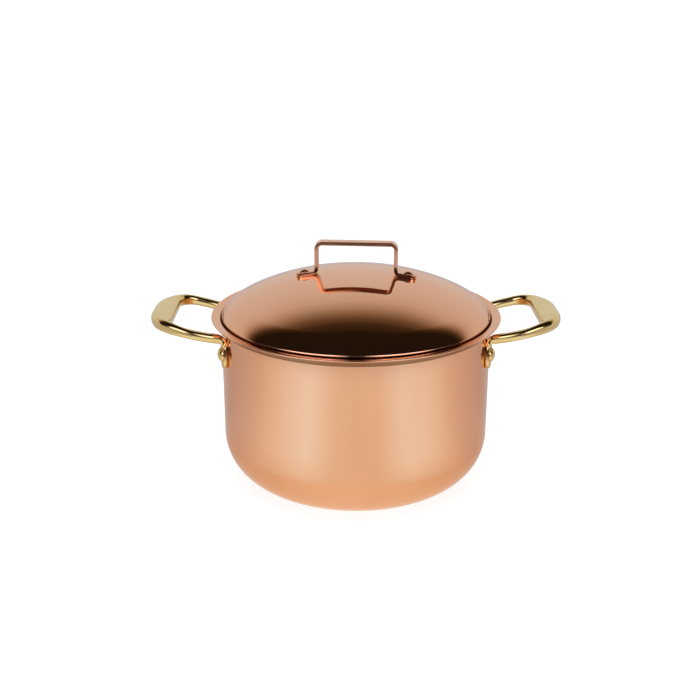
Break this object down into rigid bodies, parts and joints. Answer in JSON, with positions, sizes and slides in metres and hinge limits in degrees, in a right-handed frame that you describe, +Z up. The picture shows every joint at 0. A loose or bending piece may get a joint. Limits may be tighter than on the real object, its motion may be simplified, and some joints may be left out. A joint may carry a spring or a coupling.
{
  "type": "casserole with lid",
  "caption": "Round straight-sided copper casserole with a domed copper lid, a bent strap lid handle and cast brass loop handles on the sides.",
  "frame": {"origin": "on the table, under the middle of the pot", "axes": "+Z up along the pot's axis; the two side handles point along +X and -X"},
  "size_m": [0.3676, 0.2612, 0.2218],
  "materials": {
    "pot_copper": "polished copper, very finely brushed round the wall",
    "lid_copper": "polished spun copper",
    "strap_copper": "mirror polished copper",
    "handle_brass": "polished cast brass",
    "rivet_brass": "polished brass",
    "lining_steel": "satin spun steel"
  },
  "bodies": {
    "pot": {"pot_shell": "pot_copper", "pot_lining": "lining_steel", "right_handle": "handle_brass", "left_handle": "handle_brass", "right_handle_front_rivet": "rivet_brass", "right_handle_rear_rivet": "rivet_brass", "left_handle_front_rivet": "rivet_brass", "left_handle_rear_rivet": "rivet_brass"},
    "lid": {"lid_shell": "lid_copper", "lid_lining": "lining_steel", "lid_handle": "strap_copper", "lid_handle_left_rivet": "strap_copper", "lid_handle_right_rivet": "strap_copper"}
  },
  "joints": [
    {"name": "lid_lift", "type": "slide", "parent": "pot", "child": "lid", "axis": [0, 0, 1], "range_m": [0, 0.12]}
  ]
}
